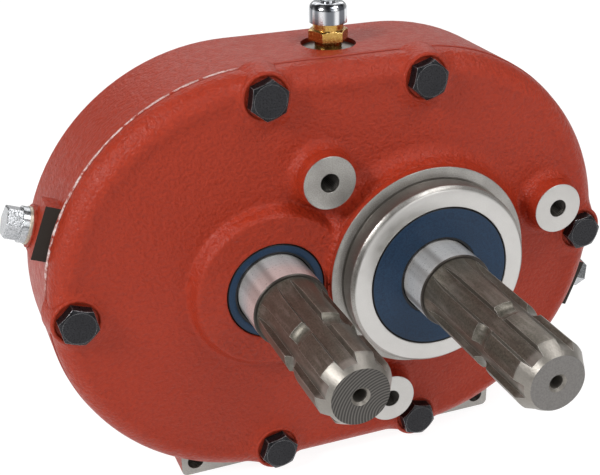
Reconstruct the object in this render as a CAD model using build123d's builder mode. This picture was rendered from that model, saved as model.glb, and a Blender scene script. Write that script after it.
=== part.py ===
from build123d import *
import math
import os

# Parallel-shaft gearbox with two splined power take-off stubs on one side.
# All sizes are in millimetres.  +Z is up, +Y runs into the housing, and both stubs point to -Y.
# The origin is where the axis of the main shaft meets the machined face behind the pilot spigot.

# gear train
CENTRE_DISTANCE = 80.0
GEAR_MODULE = 4.0
MAIN_TEETH = 25
PINION_TEETH = 15
PRESSURE_ANGLE = math.radians(20)
PROFILE_SHIFT = 0.2
BACKLASH = 0.16
GEAR_WIDTH = 28.0
PINION_WIDTH = 30.0
GEAR_FRONT = 33.0
PINION_FRONT = 32.0

MAIN_X = 0.0
PINION_X = -CENTRE_DISTANCE
MIDDLE_X = -CENTRE_DISTANCE / 2

# housing envelope
HOUSING_RADIUS = 107.0
COVER_FACE = 12.0
COVER_RADIUS = 106.3
COVER_BACK = 23.6
CASE_FRONT = 24.0
CASE_BACK = 80.0
COVER_EDGE_RADIUS = 10.0
CASE_EDGE_RADIUS = 8.0
MOUTH_RADIUS = 85.0
CAVITY_RADIUS = 98.5
CAVITY_FRONT = 35.0
CAVITY_BACK = 71.5
CAVITY_EDGE_RADIUS = 6.0
COVER_RECESS_FRONT = 20.0

# main and pinion bosses on the cover
PAD_FACE = 4.6
PINION_PAD_RADIUS = 38.5
MAIN_BOSS_RADIUS = 53.2
SPIGOT_RADIUS = 47.5
SPIGOT_HEIGHT = 12.0
SPIGOT_CHAMFER = 2.2
UNDERCUT_WIDTH = 1.6
UNDERCUT_DEPTH = 0.7
BOSS_DRAFT = 8.0
ROOT_FILLET = 2.0

# three tapped bosses round the pilot spigot
STUD_CIRCLE = 152.0
STUD_COUNT = 3
STUD_START = 135.0
STUD_BOSS_RADIUS = 13.3
STUD_FACE = 0.0
STUD_DRILL = 8.5
STUD_DEPTH = 19.0

# cover bolts
BOLT_RADIUS = 95.0
BOLT_SIZE = 10.0
BOLT_CLEARANCE = 10.6
BOLT_ACROSS_FLATS = 17.0
BOLT_HEAD = 6.4
BOLT_SEAT = 11.2
BOLT_LENGTH = 35.0
BOLT_BOSS_RADIUS = 12.4
BOLT_BOSS_FACE = 10.2
BOLT_COLUMN_RADIUS = 12.5
BOLT_POCKET_RADIUS = 10.8
BOLT_CROWN_INSET = 0.7
BOLT_CROWN_ANGLE = 30.0
BOLT_CROWN_REACH = 4.0
BOLT_HOLE_SPARE = 2.0
BOLT_BOSS_DEPTH = 52.0
BOLT_PLACES = [
    (PINION_X, BOLT_RADIUS),
    (PINION_X, -BOLT_RADIUS),
    (PINION_X - BOLT_RADIUS, 0.0),
    (MAIN_X, BOLT_RADIUS),
    (MAIN_X, -BOLT_RADIUS),
    (MAIN_X + BOLT_RADIUS, 0.0),
]
BOLT_TURNS = [21, 12, 42, 18, 45, 8]

# dowels
DOWEL_RADIUS = 4.0
DOWEL_FRONT = 14.0
DOWEL_BACK = 34.0
DOWEL_REACH = 96.0
DOWEL_GAP = 0.5
DOWEL_PLACES = [
    (PINION_X - DOWEL_REACH * math.cos(math.radians(45)), DOWEL_REACH * math.sin(math.radians(45))),
    (MAIN_X + DOWEL_REACH * math.cos(math.radians(45)), -DOWEL_REACH * math.sin(math.radians(45))),
]

# base
BASE_CENTRE_X = MIDDLE_X + 2.0
BASE_LENGTH = 181.0
BASE_TOP = -72.0
BASE_BOTTOM = -109.0
BASE_HOLE_SPACING = 166.0
BASE_HOLE_Z = -101.5
BASE_HOLE_DRILL = 8.5
BASE_HOLE_DEPTH = 22.0
BASE_CORNER = 3.0

# breather
BREATHER_X = MIDDLE_X + 3.9
BREATHER_Y = 45.0
SPOTFACE_RADIUS = 13.4
SPOTFACE_Z = 104.6
BREATHER_THREAD = 13.2
BREATHER_HEX = 17.0
BREATHER_HEX_TURN = 52.0
BREATHER_HEX_LOW = 109.0
BREATHER_HEX_HIGH = 114.0
BREATHER_CROWN_DEPTH = 1.2
BREATHER_CROWN_REACH = 2.4
BREATHER_BORE_RADIUS = 2.0
BREATHER_NECK_RADIUS = 7.4
BREATHER_NECK_TOP = 118.5
BREATHER_STEM_LOW = 97.0
CAP_RADIUS = 9.2
CAP_CLEARANCE = 0.3
CAP_LOW = 117.4
CAP_SHOULDER = 127.1
CAP_KNOB_RADIUS = 3.6
CAP_KNOB_TOP = 130.1
CAP_EDGE_RADIUS = 3.6
CAP_KNOB_EDGE = 1.0

# side plugs
PLUG_ANGLE = 20.2
PLUG_Y = 39.0
PLUG_BOSS_REACH = 114.5
PLUG_BOSS_ROOT = 90.0
PLUG_BOSS_RADIUS = 10.2
PLUG_BLOCK_ANGLE = 21.5
PLUG_BLOCK_REACH = 113.4
PLUG_BLOCK_HALF_WIDTH = 13.2
PLUG_BLOCK_BACK = 37.0
PLUG_THREAD = 12.0
PLUG_THREAD_LENGTH = 13.0
PLUG_WASHER_RADIUS = 8.9
PLUG_WASHER = 1.5
PLUG_FLANGE_RADIUS = 8.6
PLUG_FLANGE = 3.0
PLUG_HEX = 14.0
PLUG_HEX_TURN = 8.0
PLUG_HEX_HEIGHT = 7.0
PLUG_HEX_CHAMFER = 0.6

# shafts
SPLINE_RADIUS = 17.4
SPLINE_ROOT_RADIUS = 14.7
SPLINE_TEETH = 6
SPLINE_TOOTH_WIDTH = 8.6
SPLINE_CUTTER_RADIUS = 45.0
END_FACE_RADIUS = 13.2
END_CHAMFER_LENGTH = 7.3
LOCK_GROOVE_FROM_END = 38.0
LOCK_GROOVE_RADIUS = 6.7
CENTRE_HOLE_RADIUS = 3.2
CENTRE_HOLE_DEPTH = 14.0
CENTRE_CONE_RADIUS = 4.4
JOURNAL_RADIUS = 19.0
SEAT_RADIUS = 20.0
JOURNAL_CHAMFER = 0.5
MAIN_END = -119.0
MAIN_STEP = -28.6
PINION_END = -96.6
PINION_STEP = -16.7
FULL_SPLINE_LENGTH = 70.0

# bearings: (outer radius, width, ball radius, pitch radius, ball count)
MAIN_BEARING = (40.0, 18.0, 5.9, 30.0, 9)
PINION_BEARING = (34.0, 15.0, 3.9, 27.0, 12)
BEARING_GAP = 0.15
BEARING_FIT = 0.04
RACE_CHAMFER = 0.8
MAIN_FRONT_BEARING = 6.0
PINION_FRONT_BEARING = 14.0
REAR_BEARING = 66.0
SHIM = 0.5

# seals
MAIN_SEAL = (37.0, -11.8, 10.0)
PINION_SEAL = (25.0, 4.8, 7.0)
SEAL_LIP_OUTER = 20.8
LIP_CLEARANCE = 0.06

# rear bosses
REAR_BOSS_FACE = 91.0
BOSS_WALL = 9.0
BOSS_SLOPE = 2.5

# gear seat, key and spacers
GEAR_SEAT_RADIUS = 22.5
SHOULDER_RADIUS = 26.0
KEY_WIDTH = 14.0
KEY_HEIGHT = 9.0
KEY_LENGTH = 24.0
KEY_SHAFT_DEPTH = 5.5
HUB_FIT = 0.03

# small clearances and finishing sizes
PINION_BOSS_BACK = PINION_FRONT_BEARING + PINION_BEARING[1]
PINION_BOSS_WALL = 6.0
SHAFT_BEARINGS = [(MAIN_X, MAIN_BEARING), (PINION_X, PINION_BEARING)]
SHAFT_OPENING = 22.5
BEAD_STAND_OUT = 0.5
TIP_RELIEF = 0.25
FLANK_POINTS = 6
SPLINE_SHOULDER = 0.3
SHOULDER_LENGTH = 14.0
CUT_MARGIN = 1.5
RUN_OUT_SWEEP = 40.0
MAIN_PHASE = 99.5
PINION_PHASE = 75.2
SEAT_SETBACK = 0.6
SPACER_RADIUS = 26.0
PINION_SHOULDER_RADIUS = 24.5
KEY_CLEARANCE = 0.3
CAGE_MARGIN = 0.9
CAGE_WALL_RATIO = 0.3
RACE_LAND_RATIO = 0.52
SHIM_WIDTH = 5.0
SEAL_DISH_RATIO = 0.06
SEAL_RIM = 3.2
SEAL_EDGE = 0.8
LIP_FLARE = 0.7
LIP_SETBACK = 0.5
SPRING_WIRE = 0.35

PROBE = 0.01

Y_AXIS = (0, 1, 0)


def station(depth, x=0.0, z=0.0):
    """Drawing plane across the shafts at a depth: local x is +X, local y is +Z, normal is -Y."""
    return Plane(origin=(x, depth, z), x_dir=(1, 0, 0), z_dir=(0, -1, 0))


def shaft_axis(x):
    return Axis((x, 0, 0), Y_AXIS)


def turned(points, x, mode=Mode.ADD):
    """Revolve a closed outline of (radius, depth) points about the shaft axis at x."""
    with BuildSketch(Plane.XY) as outline:
        with BuildLine():
            Polyline([(x + radius, depth) for radius, depth in points], close=True)
        make_face()
    revolve(outline.sketch, axis=shaft_axis(x), mode=mode)


def ring(inner, outer, front, back, x, mode=Mode.ADD):
    turned([(inner, front), (outer, front), (outer, back), (inner, back)], x, mode)


def disc(radius, front, back, x, z=0.0, mode=Mode.ADD):
    with BuildSketch(station(back, x, z)) as outline:
        Circle(radius)
    extrude(outline.sketch, amount=back - front, mode=mode)


def obround(radius, front, back, mode=Mode.ADD):
    """Solid whose outline is two equal circles about the shafts joined by tangent lines."""
    with BuildSketch(station(back)) as outline:
        with Locations((MIDDLE_X, 0)):
            SlotCenterToCenter(CENTRE_DISTANCE, 2 * radius)
    extrude(outline.sketch, amount=back - front, mode=mode)


def drafted_boss(radius, front, back, x, z=0.0):
    """Cast boss that widens with draft from its face towards its root."""
    with BuildSketch(station(front, x, z)) as outline:
        Circle(radius)
    extrude(outline.sketch, amount=-(back - front), taper=-BOSS_DRAFT)


def write(part, name):
    part.label = name
    export_step(part, f"parts/{name}.step")


os.makedirs("parts", exist_ok=True)


# Housing
def bolt_holes(radius, front, back):
    for x, z in BOLT_PLACES:
        disc(radius, front, back, x, z, Mode.SUBTRACT)


def dowel_holes():
    for x, z in DOWEL_PLACES:
        disc(DOWEL_RADIUS, DOWEL_FRONT, DOWEL_BACK, x, z, Mode.SUBTRACT)


def plug_direction(side, degrees=PLUG_ANGLE):
    """Outward direction on one side of the housing: the left one looks up, the right one down."""
    angle = math.radians(degrees)
    return Vector(side * math.cos(angle), 0, -side * math.sin(angle))


def plug_plane(side, reach, degrees=PLUG_ANGLE):
    centre_x = MAIN_X if side > 0 else PINION_X
    outward = plug_direction(side, degrees)
    origin = Vector(centre_x, PLUG_Y, 0) + outward * reach
    return Plane(origin=origin, x_dir=Y_AXIS, z_dir=outward)


def bearing_pocket(bearing, front, back, x):
    disc(bearing[0] + BEARING_FIT, front, back, x, mode=Mode.SUBTRACT)


def rear_boss(radius, x):
    """Closed bearing boss on the back wall, drafted from its outer face to its root."""
    with BuildSketch(station(REAR_BOSS_FACE, x)) as outline:
        Circle(radius - BOSS_SLOPE)
    extrude(outline.sketch, amount=REAR_BOSS_FACE - CAVITY_BACK, taper=-BOSS_DRAFT)


with BuildPart() as case_cavity:
    obround(CAVITY_RADIUS, CAVITY_FRONT, CAVITY_BACK)
    fillet(case_cavity.faces().sort_by(Axis.Y)[-1].edges(), CAVITY_EDGE_RADIUS)
    for x, z in BOLT_PLACES:
        disc(BOLT_COLUMN_RADIUS, CAVITY_FRONT, BOLT_BOSS_DEPTH, x, z, Mode.SUBTRACT)


with BuildPart() as gear_case:
    obround(HOUSING_RADIUS, CASE_FRONT, CASE_BACK)
    with BuildSketch(station(CASE_BACK)):
        with Locations((BASE_CENTRE_X, (BASE_TOP + BASE_BOTTOM) / 2)):
            Rectangle(BASE_LENGTH, BASE_TOP - BASE_BOTTOM)
    extrude(amount=CASE_BACK - CASE_FRONT)
    upright_edges = gear_case.edges().filter_by(Axis.Y)
    base_corners = upright_edges.filter_by_position(Axis.Z, BASE_BOTTOM - PROBE, BASE_BOTTOM + PROBE)
    fillet(base_corners, BASE_CORNER)
    rear_edges = gear_case.faces().sort_by(Axis.Y)[-1].edges()
    fillet(rear_edges, CASE_EDGE_RADIUS)
    for side in (-1, 1):
        with BuildSketch(plug_plane(side, PLUG_BOSS_ROOT, PLUG_BLOCK_ANGLE)):
            with Locations(((CASE_FRONT + PLUG_BLOCK_BACK) / 2 - PLUG_Y, 0)):
                Rectangle(PLUG_BLOCK_BACK - CASE_FRONT, 2 * PLUG_BLOCK_HALF_WIDTH)
        extrude(amount=PLUG_BLOCK_REACH - PLUG_BOSS_ROOT)
        with BuildSketch(plug_plane(side, PLUG_BOSS_ROOT)):
            Circle(PLUG_BOSS_RADIUS)
        extrude(amount=PLUG_BOSS_REACH - PLUG_BOSS_ROOT)
    # interior
    obround(MOUTH_RADIUS, CASE_FRONT, CAVITY_FRONT, Mode.SUBTRACT)
    add(case_cavity.part, mode=Mode.SUBTRACT)
    # rear bearing bosses, closed at the back
    for x, bearing in SHAFT_BEARINGS:
        disc(bearing[0] + BOSS_WALL, REAR_BEARING, CAVITY_BACK, x)
        rear_boss(bearing[0] + BOSS_WALL, x)
    for x, bearing in SHAFT_BEARINGS:
        bearing_pocket(bearing, REAR_BEARING, REAR_BEARING + bearing[1] + SHIM, x)
    bolt_holes(BOLT_SIZE / 2, CASE_FRONT, BOLT_SEAT + BOLT_LENGTH + BOLT_HOLE_SPARE)
    dowel_holes()
    for side in (-1, 1):
        disc(
            BASE_HOLE_DRILL / 2,
            CASE_FRONT,
            CASE_FRONT + BASE_HOLE_DEPTH,
            BASE_CENTRE_X + side * BASE_HOLE_SPACING / 2,
            BASE_HOLE_Z,
            Mode.SUBTRACT,
        )
        with BuildSketch(plug_plane(side, PLUG_BOSS_ROOT)):
            Circle(PLUG_THREAD / 2)
        extrude(amount=PLUG_BOSS_REACH - PLUG_BOSS_ROOT, mode=Mode.SUBTRACT)
    # breather seat on top
    with BuildSketch(Plane.XY.offset(SPOTFACE_Z)):
        with Locations((BREATHER_X, BREATHER_Y)):
            Circle(SPOTFACE_RADIUS)
    extrude(amount=HOUSING_RADIUS - SPOTFACE_Z, mode=Mode.SUBTRACT)
    with BuildSketch(Plane.XY.offset(BREATHER_STEM_LOW)):
        with Locations((BREATHER_X, BREATHER_Y)):
            Circle(BREATHER_THREAD / 2)
    extrude(amount=HOUSING_RADIUS - BREATHER_STEM_LOW, mode=Mode.SUBTRACT)
write(gear_case.part, "gear_case")


def stud_places():
    radius = STUD_CIRCLE / 2
    step = 360 / STUD_COUNT
    angles = [math.radians(STUD_START + step * index) for index in range(STUD_COUNT)]
    return [(radius * math.cos(angle), radius * math.sin(angle)) for angle in angles]


with BuildPart() as front_cover:
    obround(COVER_RADIUS, COVER_FACE, COVER_BACK)
    fillet(front_cover.faces().sort_by(Axis.Y)[0].edges(), COVER_EDGE_RADIUS)
    # raised pads round both shafts and the three tapped bosses
    drafted_boss(PINION_PAD_RADIUS, PAD_FACE, COVER_FACE, PINION_X)
    drafted_boss(MAIN_BOSS_RADIUS, 0.0, COVER_FACE, MAIN_X)
    for x, z in stud_places():
        drafted_boss(STUD_BOSS_RADIUS, STUD_FACE, COVER_FACE, x, z)
    cover_edges = front_cover.edges()
    boss_roots = cover_edges.filter_by_position(Axis.Y, COVER_FACE - PROBE, COVER_FACE + PROBE)
    fillet(boss_roots.filter_by(GeomType.CIRCLE), ROOT_FILLET)
    for x, z in BOLT_PLACES:
        drafted_boss(BOLT_BOSS_RADIUS, BOLT_BOSS_FACE, COVER_BACK, x, z)
    # bearing bosses and recess at the back
    obround(MOUTH_RADIUS, COVER_RECESS_FRONT, COVER_BACK, Mode.SUBTRACT)
    disc(MAIN_BEARING[0] + BOSS_WALL, COVER_RECESS_FRONT, COVER_BACK, MAIN_X)
    disc(PINION_BEARING[0] + PINION_BOSS_WALL, COVER_RECESS_FRONT, PINION_BOSS_BACK, PINION_X)
    bearing_pocket(MAIN_BEARING, MAIN_FRONT_BEARING, PINION_BOSS_BACK, MAIN_X)
    bearing_pocket(PINION_BEARING, PINION_FRONT_BEARING, PINION_BOSS_BACK, PINION_X)
    # pilot spigot with its seal bore
    turned(
        [
            (SPIGOT_RADIUS - SPIGOT_CHAMFER, -SPIGOT_HEIGHT),
            (SPIGOT_RADIUS, -SPIGOT_HEIGHT + SPIGOT_CHAMFER),
            (SPIGOT_RADIUS, -UNDERCUT_WIDTH),
            (SPIGOT_RADIUS - UNDERCUT_DEPTH, -UNDERCUT_WIDTH),
            (SPIGOT_RADIUS - UNDERCUT_DEPTH, 0.0),
            (MAIN_BEARING[0] - 1.0, 0.0),
            (MAIN_BEARING[0] - 1.0, MAIN_FRONT_BEARING),
            (SHAFT_OPENING, MAIN_FRONT_BEARING),
            (SHAFT_OPENING, -SPIGOT_HEIGHT),
        ],
        MAIN_X,
    )
    disc(SHAFT_OPENING, -SPIGOT_HEIGHT, MAIN_FRONT_BEARING, MAIN_X, mode=Mode.SUBTRACT)
    disc(SHAFT_OPENING, PAD_FACE, PINION_FRONT_BEARING, PINION_X, mode=Mode.SUBTRACT)
    disc(MAIN_SEAL[0], -SPIGOT_HEIGHT, MAIN_SEAL[1] + MAIN_SEAL[2], MAIN_X, mode=Mode.SUBTRACT)
    disc(PINION_SEAL[0], PAD_FACE, PINION_SEAL[1] + PINION_SEAL[2], PINION_X, mode=Mode.SUBTRACT)
    # bolt pockets, tapped holes and dowel holes
    bolt_holes(BOLT_POCKET_RADIUS, BOLT_BOSS_FACE, BOLT_SEAT)
    bolt_holes(BOLT_CLEARANCE / 2, BOLT_SEAT, COVER_BACK)
    dowel_holes()
    for x, z in stud_places():
        disc(STUD_DRILL / 2, STUD_FACE, STUD_FACE + STUD_DEPTH, x, z, Mode.SUBTRACT)
write(front_cover.part, "front_cover")


with BuildPart() as joint_sealant:
    obround(COVER_RADIUS + BEAD_STAND_OUT, COVER_BACK, CASE_FRONT)
    obround(MOUTH_RADIUS, COVER_BACK, CASE_FRONT, Mode.SUBTRACT)
    bolt_holes(BOLT_CLEARANCE / 2, COVER_BACK, CASE_FRONT)
    dowel_holes()
write(joint_sealant.part, "joint_sealant")


with BuildPart() as cover_bolts:
    # the crown of each head is turned away to a cone
    crown = BOLT_ACROSS_FLATS / 2 - BOLT_CROWN_INSET
    head_front = BOLT_SEAT - BOLT_HEAD
    crown_drop = BOLT_CROWN_REACH * math.tan(math.radians(BOLT_CROWN_ANGLE))
    for (x, z), turn in zip(BOLT_PLACES, BOLT_TURNS):
        with BuildSketch(station(BOLT_SEAT, x, z)):
            RegularPolygon(BOLT_ACROSS_FLATS / 2, 6, major_radius=False, rotation=turn)
        extrude(amount=BOLT_HEAD)
        with BuildSketch(Plane(origin=(x, 0, z), x_dir=(1, 0, 0), z_dir=(0, 0, 1))):
            with BuildLine():
                Polyline(
                    (crown, head_front),
                    (crown + BOLT_CROWN_REACH, head_front),
                    (crown + BOLT_CROWN_REACH, head_front + crown_drop),
                    close=True,
                )
            make_face()
        revolve(axis=Axis((x, 0, z), Y_AXIS), mode=Mode.SUBTRACT)
        disc(BOLT_SIZE / 2 - HUB_FIT, BOLT_SEAT, BOLT_SEAT + BOLT_LENGTH, x, z)
write(cover_bolts.part, "cover_bolts")


with BuildPart() as dowel_pins:
    for x, z in DOWEL_PLACES:
        disc(DOWEL_RADIUS - HUB_FIT, DOWEL_FRONT + DOWEL_GAP, DOWEL_BACK - DOWEL_GAP, x, z)
    chamfer(dowel_pins.edges().filter_by(GeomType.CIRCLE), JOURNAL_CHAMFER)
write(dowel_pins.part, "dowel_pins")


# Breather and side plugs
def upright(points, mode=Mode.ADD):
    """Revolve a closed outline of (radius, height) points about the breather axis."""
    foot = (BREATHER_X, BREATHER_Y, 0)
    with BuildSketch(Plane(origin=foot, x_dir=(1, 0, 0), z_dir=(0, -1, 0))) as outline:
        with BuildLine():
            Polyline(points, close=True)
        make_face()
    revolve(outline.sketch, axis=Axis(foot, (0, 0, 1)), mode=mode)


with BuildPart() as breather_body:
    stem = BREATHER_THREAD / 2 - HUB_FIT
    upright(
        [
            (BREATHER_BORE_RADIUS, BREATHER_STEM_LOW),
            (stem - JOURNAL_CHAMFER, BREATHER_STEM_LOW),
            (stem, BREATHER_STEM_LOW + JOURNAL_CHAMFER),
            (stem, BREATHER_HEX_LOW),
            (BREATHER_NECK_RADIUS, BREATHER_HEX_LOW),
            (BREATHER_NECK_RADIUS, BREATHER_NECK_TOP),
            (BREATHER_BORE_RADIUS, BREATHER_NECK_TOP),
        ]
    )
    with BuildSketch(Plane.XY.offset(BREATHER_HEX_LOW)):
        with Locations((BREATHER_X, BREATHER_Y)):
            RegularPolygon(BREATHER_HEX / 2, 6, major_radius=False, rotation=BREATHER_HEX_TURN)
            Circle(BREATHER_THREAD / 2 - CAP_CLEARANCE, mode=Mode.SUBTRACT)
    extrude(amount=BREATHER_HEX_HIGH - BREATHER_HEX_LOW)
    upright(
        [
            (BREATHER_HEX / 2, BREATHER_HEX_HIGH),
            (BREATHER_HEX / 2 + BREATHER_CROWN_REACH, BREATHER_HEX_HIGH),
            (BREATHER_HEX / 2 + BREATHER_CROWN_REACH, BREATHER_HEX_HIGH - BREATHER_CROWN_DEPTH),
        ],
        Mode.SUBTRACT,
    )
write(breather_body.part, "breather_body")


with BuildPart() as breather_cap:
    upright(
        [
            (BREATHER_NECK_RADIUS + CAP_CLEARANCE, CAP_LOW),
            (CAP_RADIUS, CAP_LOW),
            (CAP_RADIUS, CAP_SHOULDER),
            (CAP_KNOB_RADIUS, CAP_SHOULDER),
            (CAP_KNOB_RADIUS, CAP_KNOB_TOP),
            (0.0, CAP_KNOB_TOP),
            (0.0, BREATHER_NECK_TOP),
            (BREATHER_NECK_RADIUS + CAP_CLEARANCE, BREATHER_NECK_TOP),
        ]
    )
    cap_rims = breather_cap.edges().filter_by(GeomType.CIRCLE)
    shoulder = cap_rims.filter_by_position(Axis.Z, CAP_SHOULDER - PROBE, CAP_SHOULDER + PROBE)
    fillet(shoulder.sort_by(SortBy.LENGTH)[-1], CAP_EDGE_RADIUS)
    fillet(breather_cap.edges().sort_by(Axis.Z)[-1], CAP_KNOB_EDGE)
write(breather_cap.part, "breather_cap")


def side_plug(side, name):
    """Hex plug with a collar, screwed radially into its boss."""
    seat = PLUG_BOSS_REACH + PLUG_WASHER
    with BuildPart() as plug:
        with BuildSketch(plug_plane(side, seat)) as collar:
            Circle(PLUG_FLANGE_RADIUS)
        extrude(collar.sketch, amount=PLUG_FLANGE)
        with BuildSketch(plug_plane(side, seat + PLUG_FLANGE)) as head:
            RegularPolygon(PLUG_HEX / 2, 6, major_radius=False, rotation=PLUG_HEX_TURN)
        extrude(head.sketch, amount=PLUG_HEX_HEIGHT)
        outward = Axis(origin=(0, 0, 0), direction=plug_direction(side))
        chamfer(plug.faces().sort_by(outward)[-1].edges(), PLUG_HEX_CHAMFER)
        with BuildSketch(plug_plane(side, seat)) as shank:
            Circle(PLUG_THREAD / 2 - HUB_FIT)
        extrude(shank.sketch, amount=-(PLUG_WASHER + PLUG_THREAD_LENGTH))
    write(plug.part, name)


def plug_washer(side, name):
    with BuildPart() as washer:
        with BuildSketch(plug_plane(side, PLUG_BOSS_REACH)) as outline:
            Circle(PLUG_WASHER_RADIUS)
            Circle(PLUG_THREAD / 2 + HUB_FIT, mode=Mode.SUBTRACT)
        extrude(outline.sketch, amount=PLUG_WASHER)
    write(washer.part, name)


for side, place in ((-1, "fill"), (1, "level")):
    side_plug(side, f"{place}_plug")
    plug_washer(side, f"{place}_plug_washer")


# Shafts and gears
def involute(angle):
    return math.tan(angle) - angle


def gear_outline(teeth, shift, turn):
    """Closed outline of an involute spur gear, one tooth centred on the angle turn."""
    pitch_radius = GEAR_MODULE * teeth / 2
    base_radius = pitch_radius * math.cos(PRESSURE_ANGLE)
    tip_radius = pitch_radius + GEAR_MODULE * (1 + shift) - TIP_RELIEF
    root_radius = pitch_radius - GEAR_MODULE * (1.25 - shift)
    thickness = GEAR_MODULE * (math.pi / 2 + 2 * shift * math.tan(PRESSURE_ANGLE)) - BACKLASH / 2
    half_angle = thickness / (2 * pitch_radius) + involute(PRESSURE_ANGLE)
    start_radius = max(base_radius, root_radius) + PROBE

    def flank_point(radius, centre, side):
        angle = centre + side * (half_angle - involute(math.acos(base_radius / radius)))
        return radius * math.cos(angle), radius * math.sin(angle)

    def polar(radius, angle):
        return radius * math.cos(angle), radius * math.sin(angle)

    steps = [index / (FLANK_POINTS - 1) for index in range(FLANK_POINTS)]
    radii = [start_radius + (tip_radius - start_radius) * step for step in steps]
    pitch_angle = 2 * math.pi / teeth
    for index in range(teeth):
        centre = turn + index * pitch_angle
        rising = [flank_point(radius, centre, -1) for radius in radii]
        falling = [flank_point(radius, centre, 1) for radius in reversed(radii)]
        foot = math.atan2(rising[0][1], rising[0][0])
        next_foot = math.atan2(falling[-1][1], falling[-1][0])
        Line(polar(root_radius, foot), rising[0])
        Spline(rising)
        ThreePointArc(rising[-1], polar(tip_radius, centre), falling[0])
        Spline(falling)
        Line(falling[-1], polar(root_radius, next_foot))
        gap_end = foot + pitch_angle
        gap_middle = centre + pitch_angle / 2
        gap = [polar(root_radius, angle) for angle in (next_foot, gap_middle, gap_end)]
        ThreePointArc(*gap)


def polar_direction(degrees):
    return Vector(math.cos(math.radians(degrees)), 0, math.sin(math.radians(degrees)))


def cut_spline(shaft_end, step, x, phase):
    """Mill the six spaces of the spline, each ending in the run-out of a round cutter."""
    cutter_depth = SPLINE_RADIUS - SPLINE_ROOT_RADIUS
    run_out = math.sqrt(SPLINE_CUTTER_RADIUS**2 - (SPLINE_CUTTER_RADIUS - cutter_depth) ** 2)
    run_start = step - SPLINE_SHOULDER - run_out
    half_space = 180 / SPLINE_TEETH
    apex = SPLINE_TOOTH_WIDTH / 2 / math.sin(math.radians(half_space))
    reach = 2 * SPLINE_RADIUS
    side_x = apex + reach * math.cos(math.radians(half_space))
    side_y = reach * math.sin(math.radians(half_space))
    for index in range(SPLINE_TEETH):
        radial = polar_direction(phase + 2 * half_space * (index + 0.5))
        across = Plane(origin=(x, run_start, 0), x_dir=radial, z_dir=(0, -1, 0))
        with BuildSketch(across) as space:
            Circle(SPLINE_RADIUS + CUT_MARGIN)
            Circle(SPLINE_ROOT_RADIUS, mode=Mode.SUBTRACT)
            Polygon((apex, 0), (side_x, side_y), (side_x, -side_y), align=None, mode=Mode.INTERSECT)
        extrude(space.sketch, amount=run_start - shaft_end, mode=Mode.SUBTRACT)
        pivot = across.origin + radial * (SPLINE_ROOT_RADIUS + SPLINE_CUTTER_RADIUS)
        cutter_axis = Axis(pivot, across.y_dir * -1)
        revolve(space.sketch, axis=cutter_axis, revolution_arc=RUN_OUT_SWEEP, mode=Mode.SUBTRACT)
    # the shoulder of the journal is left whole
    turned(
        [
            (SPLINE_ROOT_RADIUS, step),
            (JOURNAL_RADIUS - JOURNAL_CHAMFER, step),
            (JOURNAL_RADIUS, step + JOURNAL_CHAMFER),
            (JOURNAL_RADIUS, step + SHOULDER_LENGTH),
            (SPLINE_ROOT_RADIUS, step + SHOULDER_LENGTH),
        ],
        x,
    )


def cut_centre_hole(shaft_end, x):
    cone = CENTRE_CONE_RADIUS - CENTRE_HOLE_RADIUS
    turned(
        [
            (0.0, shaft_end),
            (CENTRE_CONE_RADIUS, shaft_end),
            (CENTRE_HOLE_RADIUS, shaft_end + cone),
            (CENTRE_HOLE_RADIUS, shaft_end + CENTRE_HOLE_DEPTH),
            (0.0, shaft_end + CENTRE_HOLE_DEPTH + CENTRE_HOLE_RADIUS / 2),
        ],
        x,
        Mode.SUBTRACT,
    )


def cut_lock_groove(shaft_end, x):
    """Round-bottomed locking groove for a quick-disconnect yoke."""
    groove_y = shaft_end + LOCK_GROOVE_FROM_END
    with BuildSketch(Plane.XY) as section:
        with Locations((x + SPLINE_ROOT_RADIUS + LOCK_GROOVE_RADIUS, groove_y)):
            Circle(LOCK_GROOVE_RADIUS)
    revolve(section.sketch, axis=shaft_axis(x), mode=Mode.SUBTRACT)


def stub_outline(shaft_end, step, seat_front):
    """Outline of the part of a shaft that stands out of the housing, up to its front bearing seat."""
    return [
        (0.0, shaft_end),
        (END_FACE_RADIUS, shaft_end),
        (SPLINE_RADIUS, shaft_end + END_CHAMFER_LENGTH),
        (SPLINE_RADIUS, step),
        (JOURNAL_RADIUS - JOURNAL_CHAMFER, step),
        (JOURNAL_RADIUS, step + JOURNAL_CHAMFER),
        (JOURNAL_RADIUS, seat_front - SEAT_RADIUS + JOURNAL_RADIUS),
        (SEAT_RADIUS, seat_front),
    ]


def finish_stub(shaft_end, step, x, phase):
    cut_spline(shaft_end, step, x, phase)
    cut_lock_groove(shaft_end, x)
    cut_centre_hole(shaft_end, x)


with BuildPart() as main_shaft:
    seat_back = REAR_BEARING + MAIN_BEARING[1]
    gear_back = GEAR_FRONT + GEAR_WIDTH
    turned(
        stub_outline(MAIN_END, MAIN_STEP, MAIN_FRONT_BEARING - 1.0)
        + [
            (SEAT_RADIUS, MAIN_FRONT_BEARING + MAIN_BEARING[1]),
            (SHOULDER_RADIUS, MAIN_FRONT_BEARING + MAIN_BEARING[1]),
            (SHOULDER_RADIUS, GEAR_FRONT),
            (GEAR_SEAT_RADIUS, GEAR_FRONT),
            (GEAR_SEAT_RADIUS, gear_back - SEAT_SETBACK),
            (SEAT_RADIUS, gear_back - SEAT_SETBACK),
            (SEAT_RADIUS, seat_back - 1.0),
            (SEAT_RADIUS - 1.0, seat_back),
            (0.0, seat_back),
        ],
        MAIN_X,
    )
    finish_stub(MAIN_END, MAIN_STEP, MAIN_X, MAIN_PHASE)
    key_floor = GEAR_SEAT_RADIUS - KEY_SHAFT_DEPTH
    with BuildSketch(Plane.XY.offset(key_floor)):
        with Locations((MAIN_X, GEAR_FRONT + GEAR_WIDTH / 2)):
            SlotOverall(KEY_LENGTH, KEY_WIDTH, rotation=90)
    extrude(amount=KEY_HEIGHT, mode=Mode.SUBTRACT)
write(main_shaft.part, "main_shaft")


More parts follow.
